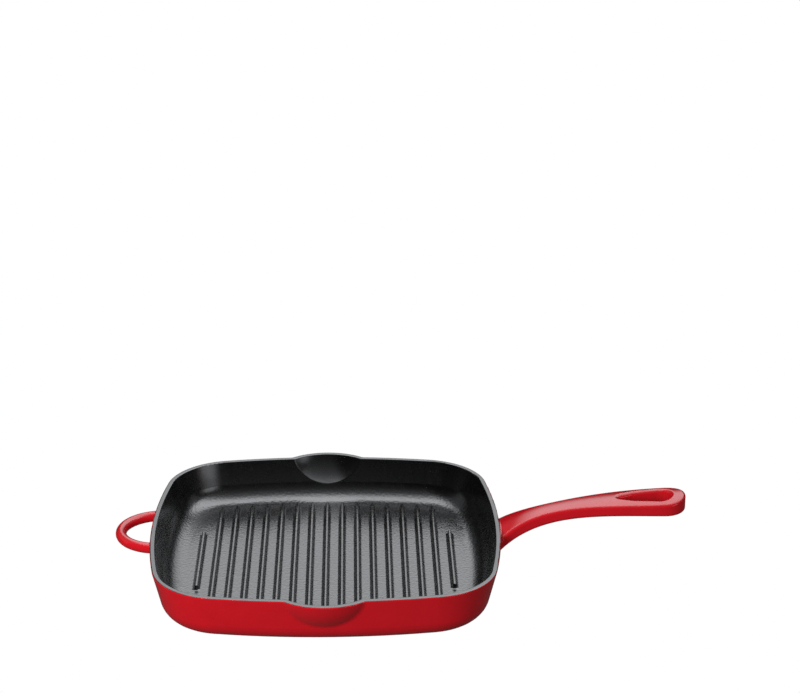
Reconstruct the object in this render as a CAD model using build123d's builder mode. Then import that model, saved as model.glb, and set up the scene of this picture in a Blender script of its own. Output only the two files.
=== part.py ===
from build123d import *
import os
from math import atan2, cos, degrees, radians, sin, sqrt, tan

# A square grill pan of cast iron under fired enamel: red outside, satin black inside.
# Sizes are millimetres and degrees. The origin is the centre of the base's underside,
# +Z is up, +X runs towards the end of the long handle, and Y crosses the pouring spouts.

# Pan: a rounded square whose sides bow outwards and lean outwards
rim_half_width = 121.2  # from the centre to the lip's outer edge at the middle of a side
rim_side_radius = 463.2
rim_corner_radius = 48.9
pan_height = 34.1
wall_draft = 14.0  # degrees from upright, inside and outside alike
lip_thickness = 3.7
lip_outer_round = 0.9
lip_inner_round = 0.8
base_round = 15.8
floor_thickness = 5.6
floor_round = 15.5

# Enamel coat on every face of the iron
enamel = 0.4

# Pouring spouts: a scoop of a sphere at the middle of the front and back sides
spout_radius = 40.0
spout_centre_rise = 13.3  # above the rim
spout_reach = 8.5  # how far the scoop passes the lip's inner edge
spout_blend = 5.0  # between the bulge outside and the wall
spout_edge_round = 1.2  # between the scoop inside and the wall

# Ribs on the floor
rib_pitch = 11.0
long_rib_count = 15
rib_height = 3.6
rib_foot_half_width = 1.9
rib_draft = 15.5  # degrees from upright
rib_crest_round = 0.8
rib_foot_round = 1.7
rib_foot_brim = 1.6  # how far a rib's enamel reaches past the rib's foot
rib_end_gap = 3.0  # from a long rib's end to where the floor turns up
short_rib_half_length = 45.0

# Long handle, along X. A share is of its length, counted from the rim; half widths count
# from its middle and heights from the rim. Each side, the top's middle line and the underside
# are one curve with four control points.
handle_length = 128.5
handle_end_radius = 15.5
handle_root_half_width = 24.0
handle_waist_half_width = -3.1
handle_waist_share = 0.189
handle_swell_share = 0.494
handle_top_root = -8.3
handle_top_rise = 19.3
handle_top_level = 21.0
handle_top_end = 23.3
handle_top_rise_share = 0.14
handle_top_level_share = 0.75
handle_under_root = -20.6
handle_under_rise = 14.7
handle_under_level = 10.6
handle_under_end = 10.0
handle_under_rise_share = 0.197
handle_under_level_share = 0.75
handle_crown_radius = 50.0  # the top is crowned across the handle
handle_edge_round = 2.4
handle_root_depth = 9.0  # how deep the handle's form starts inside the rim

# Hang hole: a drop with its round end outwards, half widths from the handle's middle
hole_half_width = 8.2
hole_waist_half_width = 5.7
hole_tip_half_width = 2.4
hole_length = 36.5
hole_waist_share = 0.32  # of the hole's length, from its tip
hole_end_margin = 10.0  # from the hole's round end to the handle's
hole_edge_round = 2.8

# Helper handle: a round bar bent into part of a ring, at the middle of the left side
loop_bar_radius = 3.74
loop_ring_radius = 27.0
loop_centre_inset = 6.0  # from the rim's outer edge to the ring's centre
loop_drop = 5.06  # from the rim down to the bar's middle

# Both handles grow out of the wall; their castings and coats part from the pan's a little way out
root_round = 0.6
root_stub = 4.0

# How far a cutting form passes what it cuts
overrun = 30.0

lean = tan(radians(wall_draft))
level_per_normal = 1 / cos(radians(wall_draft))  # level distance for each millimetre square to the wall
wall_thickness = lip_thickness / level_per_normal
round_reach = tan(radians(90 - wall_draft) / 2)  # how far a round of radius 1 reaches along the floor
floor_flat_inset = lip_thickness + (pan_height - floor_thickness) * lean + floor_round * round_reach
side_centre = rim_half_width - rim_side_radius
corner_gap = rim_side_radius - rim_corner_radius
corner_centre = (side_centre + sqrt(2 * corner_gap**2 - side_centre**2)) / 2
half_turn = atan2(corner_centre, corner_centre - side_centre)  # half of a side's arc
root_plane = rim_half_width + root_stub


def outline(inset, height):
    """The bowed and rounded square, moved inward by inset, at a height."""
    side_angle = degrees(half_turn)
    with BuildSketch(Plane.XY.offset(height)) as sketch:
        with BuildLine():
            for quarter in (0, 90, 180, 270):
                side = Vector(0, side_centre).rotate(Axis.Z, quarter)
                corner = Vector(-corner_centre, corner_centre).rotate(Axis.Z, quarter)
                CenterArc(side, rim_side_radius - inset, 90 - side_angle + quarter, 2 * side_angle)
                CenterArc(corner, rim_corner_radius - inset, 90 + side_angle + quarter, 90 - 2 * side_angle)
        make_face()
    return sketch.sketch


def outline_reach(across, inset):
    """How far the outline, moved inward by inset, reaches along Y at the given X."""
    side_radius = rim_side_radius - inset
    corner_radius = rim_corner_radius - inset
    if across < side_radius * sin(half_turn):
        return side_centre + sqrt(side_radius**2 - across**2)
    return corner_centre + sqrt(corner_radius**2 - (across - corner_centre) ** 2)


def bowl(inset, top, bottom, bottom_round):
    """A filled bowl whose wall stands inset inside the pan's outer wall."""
    with BuildPart() as form:
        add(outline(inset * level_per_normal - (top - pan_height) * lean, top))
        extrude(amount=bottom - top, taper=wall_draft)
        fillet(form.faces().sort_by(Axis.Z)[0].edges(), bottom_round)
    return form.part


def spout_balls(radius, top):
    """The balls that shape both spouts, cut level at top."""
    across = rim_half_width - lip_thickness + spout_reach - sqrt(spout_radius**2 - spout_centre_rise**2)
    level = pan_height + spout_centre_rise
    with BuildPart() as form:
        with Locations((0, -across, level), (0, across, level)):
            Sphere(radius)
        split(bisect_by=Plane.XY.offset(top), keep=Keep.BOTTOM)
    return form.part


def pan_outside(inset):
    """The pan's outer form, filled, with its faces moved inward by inset."""
    top = pan_height - inset
    filled_bowl = bowl(inset, top, inset, base_round - inset)
    bulges = spout_balls(spout_radius + lip_thickness - inset, top)
    with BuildPart() as form:
        add(filled_bowl)
        add(bulges)
        meeting = form.edges(Select.NEW).filter_by(lambda edge: edge.center().Z < top - spout_blend)
        fillet(meeting, spout_blend + inset)
    return form.part


def cavity(outset):
    """The room inside the pan, with its faces moved into the metal by outset."""
    top = pan_height + overrun
    room = bowl(wall_thickness - outset, top, floor_thickness - outset, floor_round + outset)
    scoops = spout_balls(spout_radius + outset, top)
    with BuildPart() as form:
        add(room)
        add(scoops)
        fillet(form.edges(Select.NEW), spout_edge_round - outset)
    return form.part


def drop_shape(outset):
    """The hang hole's outline, grown by outset."""
    round_end = rim_half_width + handle_length - hole_end_margin
    tip = round_end - hole_length
    with BuildSketch() as sketch:
        # Turned half round, so that this circle's seam isn't on the hole's wall
        with Locations(Location((round_end - hole_half_width, 0, 0), (0, 0, 180))):
            Circle(hole_half_width + outset)
        with Locations((tip + hole_length * hole_waist_share, 0)):
            Circle(hole_waist_half_width + outset)
        with Locations((tip + hole_tip_half_width, 0)):
            Circle(hole_tip_half_width + outset)
        make_hull()
    return sketch.sketch


def long_handle(inset):
    """The long handle with its hang hole, its faces moved inward by inset."""
    start = rim_half_width - handle_root_depth
    end_centre = rim_half_width + handle_length - handle_end_radius
    past_end = rim_half_width + handle_length + handle_end_radius
    end_radius = handle_end_radius - inset
    root_corner = (start, handle_root_half_width - inset)
    roof = pan_height + handle_length

    def along(share):
        return rim_half_width + handle_length * share

    with BuildSketch() as plan:
        with BuildLine():
            Bezier(
                root_corner,
                (along(handle_waist_share), handle_waist_half_width - inset),
                (along(handle_swell_share), end_radius),
                (end_centre, end_radius),
            )
            Line(root_corner, (start, 0))
            CenterArc((end_centre, 0), end_radius, 0, 90)
            mirror(about=Plane.XZ)
        make_face()

    under_level = pan_height + inset
    with BuildSketch(Plane.XZ.offset(handle_length)) as side_view:
        with BuildLine():
            under = Bezier(
                (start, under_level + handle_under_root),
                (along(handle_under_rise_share), under_level + handle_under_rise),
                (along(handle_under_level_share), under_level + handle_under_level),
                (past_end, under_level + handle_under_end),
            )
            Polyline(under @ 0, (start, roof), (past_end, roof), under @ 1)
        make_face()

    top_level = pan_height - inset
    with BuildLine(Plane.XZ) as ridge:
        Bezier(
            (start, top_level + handle_top_root),
            (along(handle_top_rise_share), top_level + handle_top_rise),
            (along(handle_top_level_share), top_level + handle_top_level),
            (past_end, top_level + handle_top_end),
        )
    crown_radius = handle_crown_radius - inset
    crown_half_width = handle_root_half_width + handle_edge_round
    crown_edge = sqrt(crown_radius**2 - crown_half_width**2) - crown_radius
    with BuildSketch(Plane(ridge.line @ 0, x_dir=(0, 1, 0), z_dir=(1, 0, 0))) as crown:
        with BuildLine():
            brow = ThreePointArc((-crown_half_width, crown_edge), (0, 0), (crown_half_width, crown_edge))
            Polyline(brow @ 0, (-crown_half_width, -overrun), (crown_half_width, -overrun), brow @ 1)
        make_face()
    with BuildPart() as crowned:
        sweep(crown.sketch, path=ridge.line, normal=(1, 0, 0))

    drop = drop_shape(inset)
    with BuildPart() as form:
        extrude(plan.sketch, amount=roof)
        add(crowned.part, mode=Mode.INTERSECT)
        top_edges = form.faces().sort_by(Axis.Z)[-1].edges()
        fillet(top_edges.filter_by(lambda edge: edge.center().X > rim_half_width), handle_edge_round - inset)
        extrude(side_view.sketch, amount=-2 * handle_length, mode=Mode.INTERSECT)
        under_edges = form.edges(Select.NEW).filter_by(GeomType.LINE, reverse=True)
        fillet(under_edges.filter_by(lambda edge: edge.center().X > rim_half_width), handle_edge_round - inset)
        extrude(drop, amount=roof, mode=Mode.SUBTRACT)
        hole_edges = form.edges(Select.NEW).filter_by(GeomType.LINE, reverse=True)
        fillet(hole_edges, hole_edge_round - inset)
    return form.part


def helper_loop(inset):
    """The helper handle's whole ring, its face moved inward by inset."""
    with BuildPart() as form:
        with Locations((loop_centre_inset - rim_half_width, 0, pan_height - loop_drop)):
            Torus(loop_ring_radius, loop_bar_radius - inset)
    return form.part


def casting(inset):
    """The whole pan with both handles, its faces moved inward by inset."""
    outside = pan_outside(inset)
    handle = long_handle(inset)
    ring = helper_loop(inset)
    room = cavity(inset)
    with BuildPart() as form:
        add(outside)
        fillet(form.faces().sort_by(Axis.Z)[-1].edges(), lip_outer_round - inset)
        add(handle)
        fillet(form.edges(Select.NEW), root_round + inset)
        add(ring)
        fillet(form.edges(Select.NEW), root_round + inset)
        add(room, mode=Mode.SUBTRACT)
        lip = form.faces().filter_by(Axis.Z).sort_by(Axis.Z)[-1]
        fillet(lip.inner_wires()[0].edges(), lip_inner_round - inset)
    return form.part


def rib_plan(level, growth):
    """Every rib's outline at a level, growth larger all round than the enamelled rib's foot."""
    last_long = (long_rib_count - 1) / 2 * rib_pitch
    width = 2 * (rib_foot_half_width + growth)
    with BuildSketch(Plane.XY.offset(level)) as sketch:
        for place in range(long_rib_count):
            across = place * rib_pitch - last_long
            reach = outline_reach(abs(across), floor_flat_inset) - rib_end_gap
            with Locations((across, 0)):
                SlotOverall(2 * (reach + growth), width, rotation=90)
        with Locations((-last_long - rib_pitch, 0), (last_long + rib_pitch, 0)):
            SlotOverall(2 * (short_rib_half_length + growth), width, rotation=90)
    return sketch.sketch


def rib_bars(level, growth, crest_round):
    """Every rib above a level, with drafted sides and ends and a rounded crest."""
    with BuildPart() as form:
        add(rib_plan(level, growth))
        extrude(amount=rib_height, taper=rib_draft)
        fillet(form.faces().group_by(Axis.Z)[-1].edges(), crest_round)
    return form.part


iron = casting(enamel)
whole = casting(0)
lip_top = whole.faces().filter_by(Axis.Z).sort_by(Axis.Z)[-1]
base_underside = whole.faces().sort_by(Axis.Z)[0]
right_root = Plane.YZ.offset(root_plane)
left_root = Plane.YZ.offset(-root_plane)

# Iron

with BuildPart() as pan_casting:
    add(iron)
    split(bisect_by=right_root, keep=Keep.BOTTOM)
    split(bisect_by=left_root, keep=Keep.TOP)
pan_casting.part.label = "pan_casting"

with BuildPart() as long_handle_casting:
    add(iron)
    split(bisect_by=right_root, keep=Keep.TOP)
long_handle_casting.part.label = "long_handle_casting"

with BuildPart() as helper_handle_casting:
    add(iron)
    split(bisect_by=left_root, keep=Keep.BOTTOM)
helper_handle_casting.part.label = "helper_handle_casting"

# The ribs' iron lies enamel deep, which a drafted side shows level as less or more
rib_iron_growth = enamel * tan(radians(rib_draft)) - enamel / cos(radians(rib_draft))
rib_iron = rib_bars(floor_thickness - enamel, rib_iron_growth, rib_crest_round - enamel)
with BuildPart() as grill_ribs:
    add(rib_iron)
grill_ribs.part.label = "grill_ribs"

# Enamel

with BuildPart() as coat:
    add(whole)
    add(iron, mode=Mode.SUBTRACT)

with BuildPart() as long_handle_enamel:
    add(coat.part)
    split(bisect_by=right_root, keep=Keep.TOP)
long_handle_enamel.part.label = "long_handle_enamel"

with BuildPart() as helper_handle_enamel:
    add(coat.part)
    split(bisect_by=left_root, keep=Keep.BOTTOM)
helper_handle_enamel.part.label = "helper_handle_enamel"

with BuildPart() as base_enamel:
    extrude(to_extrude=base_underside, amount=-enamel)
base_enamel.part.label = "base_enamel"

with BuildPart() as rim_enamel:
    extrude(to_extrude=lip_top, amount=-enamel)
rim_enamel.part.label = "rim_enamel"

with BuildPart() as pan_coat:
    add(coat.part)
    split(bisect_by=right_root, keep=Keep.BOTTOM)
    split(bisect_by=left_root, keep=Keep.TOP)
    add(base_enamel.part, mode=Mode.SUBTRACT)
    add(rim_enamel.part, mode=Mode.SUBTRACT)
outer_coat, inner_coat = pan_coat.solids().sort_by(SortBy.VOLUME)

with BuildPart() as outer_wall_enamel:
    add(outer_coat)
outer_wall_enamel.part.label = "outer_wall_enamel"

brim_plan = rib_plan(floor_thickness - enamel, rib_foot_brim)
with BuildPart() as lining_enamel:
    add(inner_coat)
    extrude(brim_plan, amount=enamel, mode=Mode.SUBTRACT)
lining_enamel.part.label = "lining_enamel"

rib_surface = rib_bars(floor_thickness, 0, rib_crest_round)
with BuildPart() as rib_enamel:
    extrude(brim_plan, amount=enamel)
    add(rib_surface)
    brim_tops = rib_enamel.faces().filter_by(lambda face: len(face.inner_wires()) == 1)
    fillet([edge for top in brim_tops for edge in top.inner_wires()[0].edges()], rib_foot_round)
    add(rib_iron, mode=Mode.SUBTRACT)
rib_enamel.part.label = "rib_enamel"

os.makedirs("parts", exist_ok=True)
export_step(pan_casting.part, "parts/pan_casting.step")
export_step(grill_ribs.part, "parts/grill_ribs.step")
export_step(long_handle_casting.part, "parts/long_handle_casting.step")
export_step(helper_handle_casting.part, "parts/helper_handle_casting.step")
export_step(outer_wall_enamel.part, "parts/outer_wall_enamel.step")
export_step(base_enamel.part, "parts/base_enamel.step")
export_step(long_handle_enamel.part, "parts/long_handle_enamel.step")
export_step(helper_handle_enamel.part, "parts/helper_handle_enamel.step")
export_step(rim_enamel.part, "parts/rim_enamel.step")
export_step(lining_enamel.part, "parts/lining_enamel.step")
export_step(rib_enamel.part, "parts/rib_enamel.step")
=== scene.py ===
import math

import bpy
from mathutils import Matrix, Vector

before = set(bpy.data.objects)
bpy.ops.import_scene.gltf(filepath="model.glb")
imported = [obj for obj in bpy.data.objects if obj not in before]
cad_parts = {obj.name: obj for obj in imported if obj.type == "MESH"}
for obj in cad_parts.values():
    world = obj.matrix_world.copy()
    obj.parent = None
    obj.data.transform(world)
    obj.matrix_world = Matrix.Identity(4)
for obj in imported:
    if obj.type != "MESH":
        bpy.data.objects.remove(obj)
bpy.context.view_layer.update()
scene = bpy.context.scene
scene.view_settings.view_transform = "Standard"

# Camera: fitted to the rim, the ribs and both handles. Angles in radians, lens in mm
CAMERA_PLACE = Vector((0.019473, -1.437954, 0.688645))
YAW = 0.022
PITCH = 0.349
ROLL = 0.003
LENS = 101.88
SENSOR_WIDTH = 36.0
CLIP_END = 20.0

ahead = Vector((
    math.sin(YAW) * math.cos(PITCH),
    math.cos(YAW) * math.cos(PITCH),
    -math.sin(PITCH),
))
level = Vector((math.cos(YAW), -math.sin(YAW), 0.0))
upward = level.cross(ahead)
right = level * math.cos(ROLL) + upward * math.sin(ROLL)
upward = upward * math.cos(ROLL) - level * math.sin(ROLL)
camera = bpy.data.objects.new("camera", bpy.data.cameras.new("camera"))
scene.collection.objects.link(camera)
camera.data.lens = LENS
camera.data.sensor_width = SENSOR_WIDTH
camera.data.clip_end = CLIP_END
camera.matrix_world = Matrix((
    (right.x, upward.x, -ahead.x, CAMERA_PLACE.x),
    (right.y, upward.y, -ahead.y, CAMERA_PLACE.y),
    (right.z, upward.z, -ahead.z, CAMERA_PLACE.z),
    (0.0, 0.0, 0.0, 1.0),
))
scene.camera = camera


def feed(tree, socket, value):
    """Set an input to a number, or link it to another node's output."""
    if isinstance(value, float):
        socket.default_value = value
    else:
        tree.links.new(value, socket)


def new_material(name):
    """A node material with its tree and its shader."""
    material = bpy.data.materials.new(name)
    material.use_nodes = True
    tree = material.node_tree
    return material, tree, tree.nodes["Principled BSDF"]


def calculate(tree, operation, first, second=None):
    """A Math node's result for one or two numbers or outputs."""
    node = tree.nodes.new("ShaderNodeMath")
    node.operation = operation
    feed(tree, node.inputs[0], first)
    if second is not None:
        feed(tree, node.inputs[1], second)
    return node.outputs["Value"]


def map_range(tree, value, start, end, low, high, smooth=False):
    """The value carried from start..end to low..high, and held beyond them."""
    node = tree.nodes.new("ShaderNodeMapRange")
    if smooth:
        node.interpolation_type = "SMOOTHSTEP"
    tree.links.new(value, node.inputs["Value"])
    node.inputs["From Min"].default_value = start
    node.inputs["From Max"].default_value = end
    node.inputs["To Min"].default_value = low
    node.inputs["To Max"].default_value = high
    return node.outputs["Result"]


def split_vector(tree, vector):
    """The X, Y and Z outputs of a vector."""
    node = tree.nodes.new("ShaderNodeSeparateXYZ")
    tree.links.new(vector, node.inputs["Vector"])
    return node.outputs


def object_place(tree):
    """The point in the object's own coordinates, which are the frame's, in metres."""
    return tree.nodes.new("ShaderNodeTexCoord").outputs["Object"]


def choose(tree, factor, first, second):
    """The first shader where factor is 0, the second where it is 1."""
    node = tree.nodes.new("ShaderNodeMixShader")
    tree.links.new(factor, node.inputs["Fac"])
    tree.links.new(first, node.inputs[1])
    tree.links.new(second, node.inputs[2])
    return node.outputs["Shader"]


def noise(tree, scale, detail, roughness=0.5):
    """Noise in object space, scale per metre."""
    node = tree.nodes.new("ShaderNodeTexNoise")
    node.inputs["Scale"].default_value = scale
    node.inputs["Detail"].default_value = detail
    node.inputs["Roughness"].default_value = roughness
    tree.links.new(object_place(tree), node.inputs["Vector"])
    return node.outputs["Fac"]


def ramp(tree, factor, stops):
    """A colour ramp over factor; stops are (place, colour)."""
    node = tree.nodes.new("ShaderNodeValToRGB")
    while len(node.color_ramp.elements) < len(stops):
        node.color_ramp.elements.new(0.5)
    for element, (place, colour) in zip(node.color_ramp.elements, stops):
        element.position = place
        element.color = (*colour, 1.0)
    tree.links.new(factor, node.inputs["Fac"])
    return node.outputs["Color"]


# The shares of a noise between which a blotch goes from its first colour to its second
BLOTCH_START = 0.3
BLOTCH_END = 0.7


def blotches(tree, socket, factor, first, second):
    """Vary an input between two colours by a noise."""
    colours = ramp(tree, factor, ((BLOTCH_START, first), (BLOTCH_END, second)))
    tree.links.new(colours, socket)


def bump(tree, shader, height, strength, distance):
    """Roughen a shader's surface by a height, at most distance metres deep."""
    node = tree.nodes.new("ShaderNodeBump")
    feed(tree, node.inputs["Strength"], strength)
    node.inputs["Distance"].default_value = distance
    tree.links.new(height, node.inputs["Height"])
    tree.links.new(node.outputs["Normal"], shader.inputs["Normal"])


def red_enamel(name):
    """Red enamel: glassy, with a slight waviness."""
    material, tree, shader = new_material(name)
    shader.inputs["Roughness"].default_value = 0.08
    shader.inputs["IOR"].default_value = 1.5
    blotches(tree, shader.inputs["Base Color"], noise(tree, 60.0, 3.0),
             (0.55, 0.0075, 0.014), (0.59, 0.0085, 0.016))
    bump(tree, shader, noise(tree, 160.0, 2.0), 0.1, 0.0002)
    return material, tree, shader


# The black's orange peel: strong up to the floor's level, nearly flat from the walls' level up
PEEL_DEPTH = 0.0004
FLOOR_LEVEL = 0.008
FLOOR_PEEL = 0.42
WALL_LEVEL = 0.018
WALL_PEEL = 0.03


def black_enamel_inputs(tree, shader):
    """Black enamel: satin, with the fine orange peel of a sprayed frit."""
    shader.inputs["IOR"].default_value = 1.9
    blotches(tree, shader.inputs["Base Color"], noise(tree, 90.0, 4.0),
             (0.0008, 0.0008, 0.001), (0.002, 0.002, 0.0022))
    blotches(tree, shader.inputs["Roughness"], noise(tree, 300.0, 3.0),
             (0.23, 0.23, 0.23), (0.28, 0.28, 0.28))
    peel = map_range(tree, split_vector(tree, object_place(tree))["Z"],
                     FLOOR_LEVEL, WALL_LEVEL, FLOOR_PEEL, WALL_PEEL)
    bump(tree, shader, noise(tree, 520.0, 1.0, 0.4), peel, PEEL_DEPTH)


black, tree, shader = new_material("black_enamel")
black_enamel_inputs(tree, shader)
red, tree, shader = red_enamel("red_enamel")

# The black runs over the lip and down its outer round, to where the red wall starts. The
# handle's root, outside the rim's edge, stays red
WALL_TOP = 0.0338
BAND_BLUR = 0.0001
RIM_EDGE = 0.1213
wall_red, tree, shader = red_enamel("wall_enamel")
band = tree.nodes.new("ShaderNodeBsdfPrincipled")
black_enamel_inputs(tree, band)
spot = split_vector(tree, object_place(tree))
above_red = map_range(tree, spot["Z"], WALL_TOP - BAND_BLUR, WALL_TOP + BAND_BLUR, 0.0, 1.0)
on_pan = calculate(tree, "LESS_THAN", spot["X"], RIM_EDGE)
either = choose(tree, calculate(tree, "MULTIPLY", above_red, on_pan),
                shader.outputs["BSDF"], band.outputs["BSDF"])
tree.links.new(either, tree.nodes["Material Output"].inputs["Surface"])

# Bare iron, under the enamel
iron, tree, shader = new_material("iron")
shader.inputs["Metallic"].default_value = 0.7
shader.inputs["Roughness"].default_value = 0.6
blotches(tree, shader.inputs["Base Color"], noise(tree, 150.0, 4.0),
         (0.07, 0.07, 0.075), (0.13, 0.13, 0.13))

LOOKS = {
    "outer_wall_enamel": wall_red,
    "base_enamel": red,
    "long_handle_enamel": red,
    "helper_handle_enamel": red,
    "rim_enamel": black,
    "lining_enamel": black,
    "rib_enamel": black,
    "pan_casting": iron,
    "grill_ribs": iron,
    "long_handle_casting": iron,
    "helper_handle_casting": iron,
}
for name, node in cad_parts.items():
    node.data.materials.clear()
    node.data.materials.append(LOOKS[name])
    node.data.shade_smooth()

# Floor: white to the camera, dim in reflections, grey to every other ray
FLOOR_HALF = 3.0
FLOOR_DROP = 0.0002
FLOOR_GLOSS = 0.05
floor_mesh = bpy.data.meshes.new("floor")
floor_mesh.from_pydata(
    [
        (-FLOOR_HALF, -FLOOR_HALF, 0.0),
        (FLOOR_HALF, -FLOOR_HALF, 0.0),
        (FLOOR_HALF, FLOOR_HALF, 0.0),
        (-FLOOR_HALF, FLOOR_HALF, 0.0),
    ],
    [],
    [(0, 1, 2, 3)],
)
floor = bpy.data.objects.new("floor", floor_mesh)
scene.collection.objects.link(floor)
floor.location.z = -FLOOR_DROP
paper, tree, shader = new_material("paper")
shader.inputs["Base Color"].default_value = (0.2, 0.2, 0.2, 1.0)
shader.inputs["Roughness"].default_value = 0.9
light_path = tree.nodes.new("ShaderNodeLightPath")
white = tree.nodes.new("ShaderNodeEmission")
white.inputs["Strength"].default_value = 1.0
dim = tree.nodes.new("ShaderNodeEmission")
dim.inputs["Strength"].default_value = FLOOR_GLOSS
seen = choose(tree, light_path.outputs["Is Camera Ray"],
              shader.outputs["BSDF"], white.outputs["Emission"])
seen = choose(tree, light_path.outputs["Is Glossy Ray"], seen, dim.outputs["Emission"])
tree.links.new(seen, tree.nodes["Material Output"].inputs["Surface"])
floor_mesh.materials.append(paper)

# World: white to the camera. Gloss shows a studio by the angle over the pan, from the back
# horizon (0) past overhead (90) to the front horizon (180): a dark horizon behind, a bright
# ceiling, a dim room in front. The ceiling is as bright as this only near its middle line,
# which lies to the right of the pan, and falls off on both sides. Everything else gets an
# even soft light with a little more from the upper left and the right.
world = bpy.data.worlds.new("world")
scene.world = world
world.use_nodes = True
tree = world.node_tree
toward = tree.nodes.new("ShaderNodeTexCoord").outputs["Generated"]

CEILING = 3.5
OVERHEAD_LEVELS = (
    (0.0, 0.03),
    (10.0, 0.07),
    (14.0, 0.25),
    (19.0, 0.85),
    (24.0, 1.65),
    (30.0, 2.3),
    (45.0, 3.1),
    (60.0, 3.5),
    (82.0, 3.5),
    (98.0, 1.6),
    (110.0, 0.5),
    (130.0, 0.2),
    (150.0, 0.08),
    (170.0, 0.02),
)
# Distances across a ceiling one unit high: its middle line, and where its fall starts and ends
CEILING_MIDDLE = 0.38
FALL_START = 0.68
FALL_END = 1.15
FALL_SHARE = 0.08
LOWEST_HEIGHT = 0.05
COOL = (0.96, 0.985, 1.02)
NEUTRAL = (1.0, 1.0, 1.0)


def panel(direction, inner, outer, level):
    """Light level over the sky: full within inner degrees of a direction, none beyond outer."""
    dot = tree.nodes.new("ShaderNodeVectorMath")
    dot.operation = "DOT_PRODUCT"
    tree.links.new(toward, dot.inputs[0])
    dot.inputs[1].default_value = Vector(direction).normalized()
    return map_range(tree, dot.outputs["Value"], math.cos(math.radians(outer)),
                     math.cos(math.radians(inner)), 0.0, level, smooth=True)


def total(values, base):
    """The sum of several light levels over a base level."""
    for value in values:
        base = calculate(tree, "ADD", value, base)
    return base


def backdrop(level, colour=NEUTRAL):
    """A sky of one light level and colour."""
    node = tree.nodes.new("ShaderNodeBackground")
    feed(tree, node.inputs["Strength"], level)
    node.inputs["Color"].default_value = (*colour, 1.0)
    return node.outputs["Background"]


# The ramp runs over the half turn from the back horizon to the front one
sight = split_vector(tree, toward)
turn = calculate(tree, "ARCTAN2", sight["Z"], sight["Y"])
overhead = ramp(tree, calculate(tree, "DIVIDE", turn, math.pi), [
    (angle / 180.0, (level / CEILING,) * 3) for angle, level in OVERHEAD_LEVELS
])
height = calculate(tree, "MAXIMUM", sight["Z"], LOWEST_HEIGHT)
aside = calculate(tree, "DIVIDE", sight["X"], height)
off_middle = calculate(tree, "ABSOLUTE", calculate(tree, "SUBTRACT", aside, CEILING_MIDDLE))
side_fall = map_range(tree, off_middle, FALL_START, FALL_END,
                      CEILING, CEILING * FALL_SHARE, smooth=True)
gloss_level = total((
    calculate(tree, "MULTIPLY", overhead, side_fall),
    panel((0.79, -0.6, 0.08), inner=6.0, outer=21.0, level=1.75),
), 0.0)
soft_level = total((
    panel((-0.3, 0.1, 0.9), inner=20.0, outer=100.0, level=0.35),
    panel((1.0, -0.1, 0.05), inner=10.0, outer=90.0, level=0.15),
), 0.3)
light_path = tree.nodes.new("ShaderNodeLightPath")
seen = choose(tree, light_path.outputs["Is Glossy Ray"],
              backdrop(soft_level), backdrop(gloss_level, COOL))
seen = choose(tree, light_path.outputs["Is Camera Ray"], seen, backdrop(1.0))
tree.links.new(seen, tree.nodes["World Output"].inputs["Surface"])


def softbox(name, direction, distance, size, level):
    """A square lamp of a given radiance that faces the pan and isn't seen in gloss."""
    lamp = bpy.data.lights.new(name, "AREA")
    lamp.shape = "SQUARE"
    lamp.size = size
    lamp.energy = level * math.pi * size * size
    holder = bpy.data.objects.new(name, lamp)
    scene.collection.objects.link(holder)
    facing = Vector(direction).normalized()
    holder.location = facing * distance
    holder.rotation_mode = "QUATERNION"
    holder.rotation_quaternion = (-facing).to_track_quat("-Z", "Y")
    holder.visible_glossy = False


softbox("key", (-0.47, -0.79, 0.42), distance=1.15, size=0.5, level=11.8)
